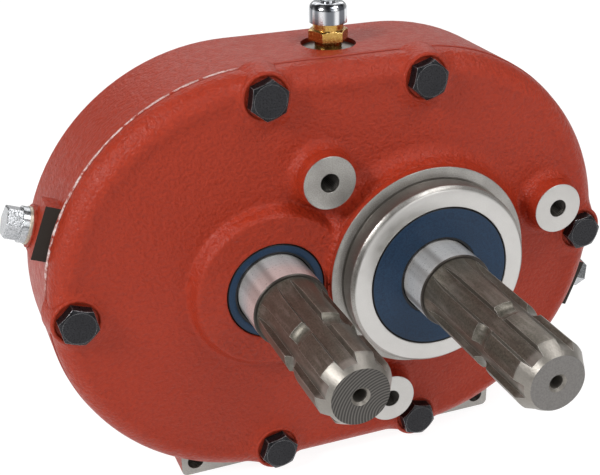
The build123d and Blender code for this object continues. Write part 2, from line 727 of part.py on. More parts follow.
with BuildPart() as main_key:
    with BuildSketch(Plane.XY.offset(key_floor)):
        with Locations((MAIN_X, GEAR_FRONT + GEAR_WIDTH / 2)):
            SlotOverall(KEY_LENGTH, KEY_WIDTH, rotation=90)
    extrude(amount=KEY_HEIGHT)
write(main_key.part, "main_key")


with BuildPart() as main_gear:
    with BuildSketch(station(gear_back, MAIN_X)):
        with BuildLine():
            gear_outline(MAIN_TEETH, -PROFILE_SHIFT, math.pi)
        make_face()
        Circle(GEAR_SEAT_RADIUS + HUB_FIT, mode=Mode.SUBTRACT)
        keyway_top = key_floor + KEY_HEIGHT + KEY_CLEARANCE
        with Locations((0, keyway_top / 2)):
            Rectangle(KEY_WIDTH + 2 * HUB_FIT, keyway_top, mode=Mode.SUBTRACT)
    extrude(amount=GEAR_WIDTH)
write(main_gear.part, "main_gear")


with BuildPart() as main_spacer:
    ring(SEAT_RADIUS + HUB_FIT, SPACER_RADIUS, gear_back, REAR_BEARING, MAIN_X)
write(main_spacer.part, "main_spacer")


with BuildPart() as pinion_shaft:
    front_seat_back = PINION_FRONT_BEARING + PINION_BEARING[1]
    pinion_back = PINION_FRONT + PINION_WIDTH
    pinion_seat_back = REAR_BEARING + PINION_BEARING[1]
    turned(
        stub_outline(PINION_END, PINION_STEP, PINION_FRONT_BEARING - 1.0)
        + [
            (SEAT_RADIUS, front_seat_back),
            (PINION_SHOULDER_RADIUS, front_seat_back),
            (PINION_SHOULDER_RADIUS, REAR_BEARING),
            (SEAT_RADIUS, REAR_BEARING),
            (SEAT_RADIUS, pinion_seat_back - 1.0),
            (SEAT_RADIUS - 1.0, pinion_seat_back),
            (0.0, pinion_seat_back),
        ],
        PINION_X,
    )
    finish_stub(PINION_END, PINION_STEP, PINION_X, PINION_PHASE)
    with BuildSketch(station(pinion_back, PINION_X)):
        with BuildLine():
            gear_outline(PINION_TEETH, PROFILE_SHIFT, math.pi)
        make_face()
    extrude(amount=PINION_WIDTH)
write(pinion_shaft.part, "pinion_shaft")


# Bearings, shims and seals
def race(inner, outer, front, bearing, x, groove_radius, name):
    """Bearing race: a ring with chamfered rims and a ball groove."""
    pitch = bearing[3]
    middle = front + bearing[1] / 2
    back = front + bearing[1]
    with BuildPart() as piece:
        ring(inner, outer, front, back, x)
        chamfer(piece.edges().filter_by(GeomType.CIRCLE), RACE_CHAMFER)
        with BuildSketch(Plane.XY) as groove:
            with Locations((x + pitch, middle)):
                Circle(groove_radius)
        revolve(groove.sketch, axis=shaft_axis(x), mode=Mode.SUBTRACT)
    write(piece.part, name)


def ball_places(bearing, x, middle):
    step = 360 / bearing[4]
    return [Vector(x, middle, 0) + polar_direction(step * index) * bearing[3] for index in range(bearing[4])]


def ball_set(bearing, x, middle, name):
    with BuildPart() as balls:
        with Locations(ball_places(bearing, x, middle)):
            Sphere(bearing[2] - BEARING_GAP)
    write(balls.part, name)


def ball_cage(bearing, x, middle, name):
    """Ring that keeps the balls apart, with one round pocket for each ball."""
    half_width = bearing[2] + CAGE_MARGIN
    half_wall = bearing[2] * CAGE_WALL_RATIO
    with BuildPart() as cage:
        ring(bearing[3] - half_wall, bearing[3] + half_wall, middle - half_width, middle + half_width, x)
        for index in range(bearing[4]):
            radial = polar_direction(360 / bearing[4] * index)
            with BuildSketch(Plane(origin=(x, middle, 0), x_dir=Y_AXIS, z_dir=radial)) as pocket:
                Circle(bearing[2] + BEARING_GAP)
            extrude(pocket.sketch, amount=bearing[3] + bearing[2], mode=Mode.SUBTRACT)
    write(cage.part, name)


def bearing_set(bearing, x, front, place):
    outer, width, ball, pitch, _ = bearing
    middle = front + width / 2
    land = ball * RACE_LAND_RATIO
    groove = ball + BEARING_GAP
    race(SEAT_RADIUS + HUB_FIT, pitch - land, front, bearing, x, groove, f"{place}_inner_race")
    race(pitch + land, outer, front, bearing, x, groove, f"{place}_outer_race")
    ball_set(bearing, x, middle, f"{place}_balls")
    ball_cage(bearing, x, middle, f"{place}_cage")


bearing_set(MAIN_BEARING, MAIN_X, MAIN_FRONT_BEARING, "main_front")
bearing_set(MAIN_BEARING, MAIN_X, REAR_BEARING, "main_rear")
bearing_set(PINION_BEARING, PINION_X, PINION_FRONT_BEARING, "pinion_front")
bearing_set(PINION_BEARING, PINION_X, REAR_BEARING, "pinion_rear")


def bearing_shim(bearing, x, name):
    back = REAR_BEARING + bearing[1] + SHIM
    with BuildPart() as shim:
        ring(bearing[0] - SHIM_WIDTH, bearing[0], back - SHIM, back, x)
    write(shim.part, name)


bearing_shim(MAIN_BEARING, MAIN_X, "main_shim")
bearing_shim(PINION_BEARING, PINION_X, "pinion_shim")


def shaft_seal(seal, x, name):
    """Rubber-covered seal: a dished body, a black lip on the journal and a garter spring behind it."""
    outer, front, width = seal
    back = front + width
    dish = (outer - SEAL_LIP_OUTER) * SEAL_DISH_RATIO
    with BuildPart() as body:
        turned(
            [
                (SEAL_LIP_OUTER, front + dish),
                (outer - SEAL_RIM, front),
                (outer - SEAL_EDGE, front),
                (outer - BEARING_FIT, front + SEAL_EDGE),
                (outer - BEARING_FIT, back),
                (SEAL_LIP_OUTER, back),
            ],
            x,
        )
    write(body.part, f"{name}_body")
    lip_bore = JOURNAL_RADIUS + LIP_CLEARANCE
    with BuildPart() as lip:
        turned(
            [
                (lip_bore + LIP_FLARE, front + dish + LIP_SETBACK),
                (SEAL_LIP_OUTER, front + dish + LIP_SETBACK),
                (SEAL_LIP_OUTER, back - LIP_SETBACK),
                (SEAL_LIP_OUTER - LIP_FLARE, back - LIP_SETBACK),
                (lip_bore, front + dish + 4 * LIP_SETBACK),
            ],
            x,
        )
    write(lip.part, f"{name}_lip")
    spring_radius = SEAL_LIP_OUTER - LIP_FLARE - SPRING_WIRE - LIP_CLEARANCE
    with BuildPart() as spring:
        with BuildSketch(Plane.XY) as wire:
            with Locations((x + spring_radius, back - SPRING_WIRE)):
                Circle(SPRING_WIRE)
        revolve(wire.sketch, axis=shaft_axis(x))
    write(spring.part, f"{name}_spring")


shaft_seal(MAIN_SEAL, MAIN_X, "main_seal")
shaft_seal(PINION_SEAL, PINION_X, "pinion_seal")
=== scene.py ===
import math

import bmesh
import bpy
import numpy as np
from mathutils import Matrix, Vector


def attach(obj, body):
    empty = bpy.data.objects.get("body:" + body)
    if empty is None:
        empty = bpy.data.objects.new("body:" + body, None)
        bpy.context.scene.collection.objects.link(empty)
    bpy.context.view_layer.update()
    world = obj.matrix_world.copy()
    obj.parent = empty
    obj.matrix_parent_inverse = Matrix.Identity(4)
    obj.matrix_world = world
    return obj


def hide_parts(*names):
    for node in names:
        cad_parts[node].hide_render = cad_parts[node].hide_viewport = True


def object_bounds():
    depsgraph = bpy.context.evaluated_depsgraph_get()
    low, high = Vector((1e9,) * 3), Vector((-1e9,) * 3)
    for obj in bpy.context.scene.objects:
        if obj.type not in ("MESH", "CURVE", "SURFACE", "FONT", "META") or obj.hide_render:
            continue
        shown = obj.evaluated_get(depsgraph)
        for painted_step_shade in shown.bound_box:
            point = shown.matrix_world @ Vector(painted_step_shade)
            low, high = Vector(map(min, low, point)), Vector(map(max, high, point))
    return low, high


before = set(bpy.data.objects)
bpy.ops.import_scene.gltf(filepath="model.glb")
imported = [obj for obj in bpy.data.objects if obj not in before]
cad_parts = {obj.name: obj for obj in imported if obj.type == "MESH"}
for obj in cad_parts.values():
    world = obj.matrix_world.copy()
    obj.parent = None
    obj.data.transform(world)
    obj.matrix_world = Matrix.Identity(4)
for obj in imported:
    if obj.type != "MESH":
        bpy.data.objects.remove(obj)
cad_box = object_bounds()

MM = 0.001

# ---- sizes of the part in millimetres; Y runs from the machined face into the housing --------------
MAIN_X = 0.0
PINION_X = -80.0
MAIN_STEP, MAIN_END = -28.6, -119.0
PINION_STEP, PINION_END = -16.7, -96.6
MAIN_SEAL_RADIUS = 37.0
PINION_SEAL_RADIUS = 25.0
CASE_RADIUS = 107.0
CASE_FRONT = 24.0
COVER_RADIUS = 106.3
COVER_EDGE = 10.0
COVER_FACE = 12.0
COVER_BACK = 23.6
BEAD_DEPTH = 23.8
MOUTH_RADIUS = 85.0
INNER_FACE = 20.0
STUD_RADIUS = 76.0
STUD_ANGLES = (135.0, 255.0, 15.0)
BOLT_RADIUS = 95.0
BOLTS = (
    (PINION_X, BOLT_RADIUS),
    (PINION_X, -BOLT_RADIUS),
    (PINION_X - BOLT_RADIUS, 0.0),
    (MAIN_X, BOLT_RADIUS),
    (MAIN_X, -BOLT_RADIUS),
    (MAIN_X + BOLT_RADIUS, 0.0),
)
BASE_HOLES = ((-121.0, -101.5), (45.0, -101.5))
BREATHER = (-36.1, 45.0)


def polar(radius, degrees):
    return radius * math.cos(math.radians(degrees)), radius * math.sin(math.radians(degrees))


STUDS = tuple(polar(STUD_RADIUS, angle) for angle in STUD_ANGLES)


# ---- camera ------------------------------------------------------------------------------------------
CAMERA_PLACE = (-0.24104, -0.45915, 0.25572)
CAMERA_FORWARD = (0.34032, 0.82094, -0.45852)
CAMERA_UP = (0.17798, 0.42258, 0.88868)


def make_camera():
    data = bpy.data.cameras.new("camera")
    data.sensor_width = 36.0
    data.lens = 68.74
    data.shift_x = -0.0609
    data.shift_y = 0.0812
    data.clip_start = 0.01
    camera = bpy.data.objects.new("camera", data)
    bpy.context.scene.collection.objects.link(camera)
    forward = Vector(CAMERA_FORWARD).normalized()
    right = forward.cross(Vector(CAMERA_UP)).normalized()
    up = right.cross(forward)
    turn = Matrix((right, up, -forward)).transposed().to_4x4()
    camera.matrix_world = Matrix.Translation(Vector(CAMERA_PLACE)) @ turn
    bpy.context.scene.camera = camera


make_camera()


# ---- shader graphs -----------------------------------------------------------------------------------
class Graph:
    """A material whose nodes are made and joined by short calls."""

    def __init__(self, name):
        self.material = bpy.data.materials.new(name)
        self.material.use_nodes = True
        self.tree = self.material.node_tree
        self.shader = self.tree.nodes["Principled BSDF"]
        where = self.add("ShaderNodeTexCoord")
        self.place = self.vector("SCALE", where.outputs["Object"], 1000.0)
        parts = self.add("ShaderNodeSeparateXYZ")
        self.feed(parts.inputs[0], self.place)
        self.x, self.y, self.z = parts.outputs

    def add(self, kind, **settings):
        made = self.tree.nodes.new(kind)
        for name, value in settings.items():
            setattr(made, name, value)
        return made

    def feed(self, socket, value):
        if isinstance(value, bpy.types.NodeSocket):
            self.tree.links.new(value, socket)
        elif isinstance(value, (tuple, list)) and len(socket.default_value) == 4 and len(value) == 3:
            socket.default_value = (*value, 1.0)
        else:
            socket.default_value = value

    def set(self, **values):
        for name, value in values.items():
            label = name.replace("_", " ").title().replace("Ior", "IOR")
            self.feed(self.shader.inputs[label], value)

    def math(self, operation, first, second=0.0):
        made = self.add("ShaderNodeMath", operation=operation)
        self.feed(made.inputs[0], first)
        self.feed(made.inputs[1], second)
        return made.outputs[0]

    def vector(self, operation, first, second):
        made = self.add("ShaderNodeVectorMath", operation=operation)
        self.feed(made.inputs[0], first)
        self.feed(made.inputs["Scale" if operation == "SCALE" else 1], second)
        return made.outputs[0]

    def measure(self, operation, output, *vectors):
        """A vector node's named output, for operations that SCALE and SUBTRACT don't cover."""
        made = self.add("ShaderNodeVectorMath", operation=operation)
        for socket, value in zip(made.inputs, vectors):
            self.feed(socket, value)
        return made.outputs[output]

    def combine(self, x, y, z):
        made = self.add("ShaderNodeCombineXYZ")
        for socket, value in zip(made.inputs, (x, y, z)):
            self.feed(socket, value)
        return made.outputs[0]

    def noise(self, size, detail=2.0, roughness=0.5, place=None):
        """Noise whose main features are about size millimetres across."""
        made = self.add("ShaderNodeTexNoise")
        self.feed(made.inputs["Vector"], self.place if place is None else place)
        made.inputs["Scale"].default_value = 1.0 / size
        made.inputs["Detail"].default_value = detail
        made.inputs["Roughness"].default_value = roughness
        return made.outputs["Fac"]

    def ramp(self, value, low, high, to_low=0.0, to_high=1.0):
        made = self.add("ShaderNodeMapRange", interpolation_type="SMOOTHSTEP")
        for socket, number in zip(made.inputs, (value, low, high, to_low, to_high)):
            self.feed(socket, number)
        return made.outputs[0]

    def mix(self, factor, first, second):
        made = self.add("ShaderNodeMix", data_type="RGBA")
        self.feed(made.inputs[0], factor)
        self.feed(made.inputs[6], first)
        self.feed(made.inputs[7], second)
        return made.outputs[2]

    def radius(self, x, z):
        """Distance from the line through (x, z) along Y, in millimetres."""
        across = self.math("SUBTRACT", self.x, x)
        high = self.math("SUBTRACT", self.z, z)
        return self.math("SQRT", self.math("ADD", self.both(across, across), self.both(high, high)))

    def outline(self):
        """Distance from the line between the two shaft axes, in millimetres."""
        right = self.math("SUBTRACT", self.x, MAIN_X)
        left = self.math("SUBTRACT", PINION_X, self.x)
        beyond = self.most(right, left, 0.0)
        return self.math("SQRT", self.math("ADD", self.both(beyond, beyond), self.both(self.z, self.z)))

    def near(self, places, reach):
        """1 within reach of any of the lines through places along Y."""
        return self.most(*[self.ramp(self.radius(x, z), reach + 0.1, reach) for x, z in places])

    def most(self, *values):
        total = values[0]
        for value in values[1:]:
            total = self.math("MAXIMUM", total, value)
        return total

    def both(self, *values):
        total = values[0]
        for value in values[1:]:
            total = self.math("MULTIPLY", total, value)
        return total

    def other(self, value):
        return self.math("SUBTRACT", 1.0, value)

    def round_edges(self, radius):
        """Normal with edges rounded to radius millimetres, and a mask of where the edges are."""
        bevel = self.add("ShaderNodeBevel", samples=4)
        bevel.inputs["Radius"].default_value = radius * MM
        flat = self.add("ShaderNodeNewGeometry")
        agree = self.measure("DOT_PRODUCT", "Value", bevel.outputs[0], flat.outputs["Normal"])
        return bevel.outputs[0], self.ramp(agree, 0.995, 0.9)

    def bump(self, height, depth, normal=None):
        """Bump whose full height is depth millimetres."""
        made = self.add("ShaderNodeBump")
        made.inputs["Distance"].default_value = depth * MM
        self.feed(made.inputs["Height"], height)
        if normal is not None:
            self.feed(made.inputs["Normal"], normal)
        return made.outputs[0]

    def done(self, normal):
        self.feed(self.shader.inputs["Normal"], normal)
        return self.material


PAINT = (0.345, 0.030, 0.0095)
PAINT_DARK = (0.28, 0.0235, 0.0082)
PAINT_PATCH = (0.30, 0.026, 0.009)
# pale red for the edges: worn paint and painted highlight
PAINT_EDGE_WEAR_HIGHLIGHT = (0.48, 0.090, 0.045)
STAIN = (0.020, 0.016, 0.013)
# dark threads: bare steel, darkened as painted shade inside the holes
HOLE_STEEL_SHADED = (0.085, 0.078, 0.070)


def enamel(name, masks):
    """Red-brown enamel over sand-cast iron.

    masks(graph) gives five masks: bare iron, dark stain, threaded holes, iron darkened as painted shade
    and iron paled as painted light.
    """
    g = Graph(name)
    peel = g.noise(1.7, 3.0, 0.55)
    sand = g.noise(4.2, 3.0, 0.5)
    patch = g.noise(45.0, 2.0, 0.5)
    tone = g.mix(g.ramp(peel, 0.3, 0.62), PAINT_DARK, PAINT)
    tone = g.mix(g.ramp(patch, 0.35, 0.7, 0.0, 0.3), tone, PAINT_PATCH)
    normal, edge = g.round_edges(0.5)
    # edges paled towards the pale red: worn paint and painted highlight
    tone = g.mix(g.both(edge, 0.3), tone, PAINT_EDGE_WEAR_HIGHLIGHT)
    bare, stain, hole, shade, pale = masks(g)
    grain = g.noise(0.6, 4.0, 0.6)
    cloud = g.noise(14.0, 3.0, 0.55)
    iron = g.mix(g.ramp(grain, 0.3, 0.7), (0.30, 0.285, 0.265), (0.44, 0.425, 0.40))
    iron = g.mix(g.ramp(cloud, 0.35, 0.7, 0.0, 0.5), iron, (0.24, 0.225, 0.21))
    # darker iron under the shade mask: painted shade
    iron = g.mix(g.both(shade, 0.6), iron, (0.15, 0.13, 0.11))
    # paler iron under the pale mask: painted light
    iron = g.mix(g.both(pale, 0.75), iron, (0.66, 0.645, 0.625))
    tone = g.mix(bare, tone, iron)
    tone = g.mix(stain, tone, g.mix(grain, STAIN, (0.034, 0.028, 0.024)))
    # threads inside the holes: bare steel with painted shade
    tone = g.mix(hole, tone, HOLE_STEEL_SHADED)
    metal = g.most(g.both(bare, g.other(stain)), hole)
    g.set(
        base_color=tone,
        metallic=g.both(metal, 0.85),
        roughness=g.math("ADD", g.ramp(sand, 0.3, 0.7, 0.36, 0.48), g.both(metal, -0.06)),
        specular_ior_level=g.math("SUBTRACT", g.ramp(bare, 0.0, 1.0, 0.24, 0.5), g.both(stain, 0.4)),
    )
    height = g.both(g.math("ADD", peel, g.math("MULTIPLY", sand, 0.8)), g.other(g.most(bare, hole)))
    normal = g.bump(height, 0.75, normal)
    normal = g.bump(g.both(grain, bare), 0.03, normal)
    turned = g.noise(0.9, 2.0, 0.5, g.combine(0.0, g.y, 0.0))
    normal = g.bump(g.both(turned, shade), 0.10, normal)
    thread = g.both(hole, g.math("SINE", g.math("MULTIPLY", g.y, 5.0)))
    return g.done(g.bump(thread, 0.35, normal))


def from_breather(g):
    """Offset from the breather axis."""
    return g.vector("SUBTRACT", g.combine(g.x, g.y, 0.0), (*BREATHER, 0.0))


def case_masks(g):
    """Masks of bare iron, dark stain, threaded holes, iron darkened as painted shade and iron paled as
    painted light on the case.
    """
    joint = g.both(
        g.ramp(g.y, CASE_FRONT - 0.2, CASE_FRONT - 0.1),
        g.ramp(g.y, CASE_FRONT + 0.2, CASE_FRONT + 0.1),
        g.ramp(g.outline(), CASE_RADIUS + 0.1, CASE_RADIUS + 0.3),
    )
    foot = g.ramp(g.z, -60.0, -62.0)
    base = g.ramp(g.z, -108.6, -108.8)
    away = g.measure("LENGTH", "Value", from_breather(g))
    seat = g.both(g.ramp(g.z, 104.75, 104.65), g.ramp(away, 13.5, 13.4), g.ramp(g.z, 100.0, 101.0))
    hole = g.both(
        g.near(BASE_HOLES, 4.3), g.ramp(g.y, CASE_FRONT + 0.1, CASE_FRONT + 0.3), g.ramp(g.y, 50.0, 49.0)
    )
    # the seat under the breather is bare iron, darkened as painted shade beneath the cap
    return g.most(joint, base, seat), g.both(joint, g.other(foot)), hole, seat, 0.0


def cover_masks(g):
    """Masks of bare iron, dark stain, threaded holes, iron darkened as painted shade and iron paled as
    painted light on the cover.
    """
    main = g.radius(MAIN_X, 0.0)
    collar = g.both(g.ramp(main, 48.2, 48.1), g.ramp(g.y, 0.4, 0.3))
    faces = g.ramp(g.y, 0.3, 0.15)
    hole = g.both(g.near(STUDS, 5.0), g.ramp(g.y, 0.05, 0.25))
    # the turned side of the spigot: turning marks and painted shade
    side = g.both(collar, g.ramp(g.y, -9.4, -9.1), g.ramp(main, 44.0, 45.0))
    # the spigot's front face, paled as painted light
    front = g.ramp(g.y, -11.4, -11.7)
    # the lower stud faces, paled as painted light
    low_studs_painted_light = g.both(g.ramp(main, 60.0, 61.0), g.ramp(g.z, 45.0, 30.0), 0.8)
    return g.most(collar, faces), 0.0, hole, side, g.most(front, low_studs_painted_light)


def plain_metal(name, dark, light, metallic, rough, grain, depth, edge_wear_highlight_colour=None, edge_size=0.35):
    """Mottled metal with its edges paled to the edge colour, as wear and as painted highlight; rough holds
    the least and most roughness.
    """
    g = Graph(name)
    fine = g.noise(grain, 4.0, 0.6)
    cloud = g.noise(grain * 12.0, 2.0, 0.5)
    normal, edge = g.round_edges(edge_size)
    tone = g.mix(g.ramp(fine, 0.3, 0.7), dark, light)
    tone = g.mix(g.ramp(cloud, 0.35, 0.7, 0.0, 0.35), tone, dark)
    # edges paled to the edge colour: wear and painted highlight
    if edge_wear_highlight_colour is not None:
        tone = g.mix(g.both(edge, g.ramp(cloud, 0.2, 0.6, 0.4, 1.0)), tone, edge_wear_highlight_colour)
    g.set(base_color=tone, roughness=g.ramp(fine, 0.25, 0.75, *rough))
    g.shader.inputs["Metallic"].default_value = metallic
    return g.done(g.bump(fine, depth, normal))


def cap_material():
    """Nickel plate, with soft light and dark stripes along the cap painted as reflections."""
    g = Graph("bright_nickel")
    fine = g.noise(0.7, 4.0, 0.6)
    outward = g.measure("NORMALIZE", "Vector", from_breather(g))
    # light and dark stripes round the cap are painted reflections of the studio
    painted_reflection_bands = g.ramp(g.noise(0.55, 1.0, 0.5, outward), 0.40, 0.56)
    tone = g.mix(painted_reflection_bands, (0.16, 0.17, 0.19), (0.78, 0.79, 0.81))
    # towards the top the colour goes to mid grey: painted light on the top
    tone = g.mix(g.ramp(g.z, 125.6, 127.4, 0.0, 0.75), tone, (0.45, 0.46, 0.48))
    normal, edge = g.round_edges(0.4)
    # bright edges: painted highlight
    tone = g.mix(g.both(edge, 0.6), tone, (0.85, 0.86, 0.88))
    g.set(base_color=tone, roughness=g.ramp(fine, 0.25, 0.75, 0.10, 0.22))
    g.shader.inputs["Metallic"].default_value = 1.0
    return g.done(g.bump(fine, 0.015, normal))


def bead_material():
    """Sealant squeezed out of the joint: pale pinkish smears on the upper left, painted over elsewhere."""
    g = Graph("sealant_bead")
    blotch = g.noise(4.0, 4.0, 0.65)
    speck = g.noise(0.9, 3.0, 0.6)
    left = g.both(g.ramp(g.x, -86.0, -96.0), g.ramp(g.z, 8.0, 20.0), g.ramp(g.z, 110.0, 60.0, 0.75, 1.0))
    shown = g.both(left, g.ramp(blotch, 0.36, 0.52))
    pale = g.mix(g.ramp(speck, 0.3, 0.7), (0.45, 0.27, 0.24), (0.78, 0.68, 0.66))
    tone = g.mix(shown, g.mix(speck, PAINT_DARK, PAINT), pale)
    g.set(base_color=tone, roughness=g.ramp(speck, 0.3, 0.7, 0.36, 0.52))
    return g.done(g.bump(speck, 0.12, g.round_edges(0.2)[0]))


def shaft_material(name, x, step, end, faced, stripes):
    """Ground journal up to step, phosphated spline, and end face in the colour faced with tool arcs."""
    g = Graph(name)
    radius = g.radius(x, 0.0)
    turned = g.noise(0.5, 2.0, 0.5, g.combine(0.0, g.y, 0.0))
    fine = g.noise(0.9, 4.0, 0.65)
    cloud = g.noise(9.0, 3.0, 0.55)
    streak = g.noise(2.2, 3.0, 0.6, g.combine(g.x, g.both(g.y, 0.12), g.z))
    normal, edge = g.round_edges(0.3)
    edge = g.both(edge, g.ramp(g.y, step - 1.2, step - 1.8))
    # near-black ring at the shoulder step: painted shade in the corner
    painted_step_shade = g.both(
        g.ramp(g.y, step - 0.3, step - 0.15),
        g.ramp(g.y, step + 0.65, step + 0.5),
        g.ramp(radius, 17.3, 17.5),
    )
    journal = g.both(g.ramp(radius, 18.75, 18.9), g.ramp(g.y, step + 0.15, step + 0.4))
    face = g.ramp(g.y, end + 0.12, end + 0.04)
    nose_highlight = g.ramp(g.y, end + 9.0, end + 6.0)
    phosphate = g.mix(g.ramp(fine, 0.3, 0.7), (0.082, 0.074, 0.058), (0.155, 0.140, 0.113))
    phosphate = g.mix(g.ramp(streak, 0.45, 0.75, 0.0, 0.45), phosphate, (0.29, 0.265, 0.235))
    phosphate = g.mix(g.ramp(cloud, 0.4, 0.72, 0.0, 0.4), phosphate, (0.07, 0.060, 0.050))
    # paler phosphate towards the end of the spline: painted highlight on the end chamfers
    phosphate = g.mix(g.both(nose_highlight, 0.5), phosphate, (0.36, 0.335, 0.305))
    # paler edges on the spline: worn phosphate and painted highlight on the crests
    phosphate = g.mix(g.both(edge, 0.7), phosphate, (0.60, 0.57, 0.53))
    from_axis = g.vector("SUBTRACT", g.combine(g.x, 0.0, g.z), (x, 0.0, 0.0))
    outward = g.measure("NORMALIZE", "Vector", from_axis)
    # light and dark stripes round the ground journal are painted reflections
    painted_reflection = g.ramp(g.noise(0.42, 1.0, 0.5, outward), 0.36, 0.62)
    ground = g.mix(g.ramp(turned, 0.3, 0.7), (0.70, 0.69, 0.675), (0.86, 0.85, 0.835))
    ground = g.mix(g.both(g.other(painted_reflection), 0.8), ground, (0.27, 0.25, 0.235))
    tone = g.mix(painted_step_shade, g.mix(journal, phosphate, ground), (0.05, 0.042, 0.036))
    arcs = g.ramp(g.math("SINE", g.both(g.radius(x + 12.5, -11.0), 4.6)), -0.6, 0.8)
    end_tone = g.mix(g.ramp(fine, 0.3, 0.7), faced, tuple(1.35 * value for value in faced))
    end_tone = g.mix(g.both(arcs, stripes), end_tone, (0.13, 0.12, 0.11))
    tone = g.mix(face, tone, end_tone)
    rough = g.math("ADD", g.ramp(fine, 0.25, 0.75, 0.32, 0.44), g.both(g.other(turned), journal, -0.12))
    g.set(base_color=tone, roughness=rough, metallic=g.ramp(journal, 0.0, 1.0, 0.55, 0.52))
    normal = g.bump(g.both(arcs, g.both(face, stripes)), 0.05, normal)
    return g.done(g.bump(g.both(fine, g.other(journal)), 0.06, normal))


def rubber(name, dark, light, roughness, x, rim):
    """Moulded rubber of the seal about the shaft at x, with painted shade in the gap where it meets its
    bore at radius rim.
    """
    g = Graph(name)
    radius = g.radius(x, 0.0)
    speck = g.noise(0.8, 3.0, 0.6)
    rings = g.noise(1.6, 2.0, 0.5, g.combine(radius, 0.0, 0.0))
    tone = g.mix(g.ramp(speck, 0.3, 0.7), dark, light)
    # lighter moulded rings: painted highlight along the ridges
    tone = g.mix(g.ramp(rings, 0.4, 0.7, 0.0, 0.4), tone, light)
    # near-black ring where the seal meets its bore: painted shade in the gap
    tone = g.mix(g.ramp(radius, rim - 1.1, rim - 0.7), tone, (0.003, 0.003, 0.004))
    g.shader.inputs["Specular IOR Level"].default_value = 0.3
    g.set(base_color=tone, roughness=g.ramp(speck, 0.3, 0.7, roughness, roughness + 0.12))
    normal = g.bump(rings, 0.04, g.round_edges(0.3)[0])
    return g.done(g.bump(speck, 0.03, normal))


COVER_ENAMEL = enamel("cover_enamel", cover_masks)
BEAD = bead_material()
BLACK_OXIDE = ((0.012, 0.012, 0.014), (0.034, 0.034, 0.038))
BRASS = ((0.42, 0.24, 0.055), (0.66, 0.42, 0.13))
ZINC = ((0.30, 0.31, 0.32), (0.58, 0.59, 0.61))
SOFT_METAL = ((0.44, 0.40, 0.32), (0.66, 0.62, 0.52))
GEAR_STEEL = ((0.34, 0.33, 0.31), (0.52, 0.51, 0.49))
BEARING_STEEL = ((0.56, 0.56, 0.57), (0.74, 0.74, 0.75))
CAGE_BRASS = ((0.48, 0.32, 0.10), (0.70, 0.50, 0.20))
MATERIALS = {
    "case_paint": enamel("case_enamel", case_masks),
    "cover_paint": COVER_ENAMEL,
    "sealant": BEAD,
    "bolt_black": plain_metal(
        "black_oxide", *BLACK_OXIDE, 0.7, (0.24, 0.40), 0.8, 0.03, (0.42, 0.42, 0.43), 0.45
    ),
    "brass": plain_metal("turned_brass", *BRASS, 1.0, (0.16, 0.30), 0.9, 0.006, (0.92, 0.70, 0.32)),
    "cap_chrome": cap_material(),
    "zinc": plain_metal("zinc_plate", *ZINC, 1.0, (0.14, 0.28), 0.8, 0.006, (0.9, 0.9, 0.92)),
    "washer_metal": plain_metal("soft_washer", *SOFT_METAL, 0.9, (0.35, 0.5), 0.7, 0.03),
    "gear_steel": plain_metal("gear_steel", *GEAR_STEEL, 1.0, (0.25, 0.4), 0.7, 0.02, (0.7, 0.7, 0.69)),
    "bearing_steel": plain_metal("bearing_steel", *BEARING_STEEL, 1.0, (0.12, 0.24), 0.6, 0.01),
    "cage_brass": plain_metal("cage_brass", *CAGE_BRASS, 1.0, (0.22, 0.36), 0.7, 0.02),
}

MAIN_END_STEEL = (0.15, 0.142, 0.135)
PINION_END_STEEL = (0.034, 0.031, 0.028)
BLUE_RUBBER = ((0.004, 0.017, 0.045), (0.009, 0.036, 0.080))
BLACK_RUBBER = ((0.006, 0.006, 0.007), (0.02, 0.02, 0.022))
BY_NODE = {
    "main_shaft": shaft_material("main_shaft_steel", MAIN_X, MAIN_STEP, MAIN_END, MAIN_END_STEEL, 0.0),
    "pinion_shaft": shaft_material(
        "pinion_shaft_steel", PINION_X, PINION_STEP, PINION_END, PINION_END_STEEL, 0.9
    ),
}
for place, x, rim in (("main", MAIN_X, MAIN_SEAL_RADIUS), ("pinion", PINION_X, PINION_SEAL_RADIUS)):
    BY_NODE[f"{place}_seal_body"] = rubber(f"{place}_blue_rubber", *BLUE_RUBBER, 0.40, x, rim)
    BY_NODE[f"{place}_seal_lip"] = rubber(f"{place}_black_rubber", *BLACK_RUBBER, 0.35, x, rim)

for name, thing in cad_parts.items():
    finish = thing.data.materials[0].name.split(".")[0]
    thing.data.materials[0] = BY_NODE.get(name) or MATERIALS[finish]


# ---- new pieces --------------------------------------------------------------------------------------
def make_piece(name, places, faces, material, finish, replaced=()):
    """A mesh from places in millimetres that rides on the housing."""
    mesh = bpy.data.meshes.new(name)
    mesh.from_pydata([tuple(float(value) * MM for value in place) for place in places], [], faces)
    tidy = bmesh.new()
    tidy.from_mesh(mesh)
    loose = [vertex for vertex in tidy.verts if not vertex.link_faces]
    bmesh.ops.delete(tidy, geom=loose, context="VERTS")
    bmesh.ops.recalc_face_normals(tidy, faces=tidy.faces)
    tidy.to_mesh(mesh)
    tidy.free()
    mesh.shade_smooth()
    mesh.set_sharp_from_angle(angle=math.radians(32))
    mesh.materials.append(material)
    piece = bpy.data.objects.new(name, mesh)
    bpy.context.scene.collection.objects.link(piece)
    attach(piece, "housing")
    if replaced:
        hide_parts(*replaced)
    return piece


def strip(here, there, count):
    """Faces between two closed rows of count places that start at here and there."""
    return [(here + k, here + (k + 1) % count, there + (k + 1) % count, there + k) for k in range(count)]


def lathe(profiles, segments):
    """Places and faces of closed (radius, depth) outlines turned about lines through (x, z)."""
    places, faces = [], []
    for profile, (x, z) in profiles:
        start, count = len(places), len(profile)
        for step in range(segments):
            turn = 2 * math.pi * step / segments
            places += [(x + r * math.cos(turn), y, z + r * math.sin(turn)) for r, y in profile]
        for step in range(segments):
            here, there = start + step * count, start + (step + 1) % segments * count
            faces += strip(here, there, count)
    return places, faces


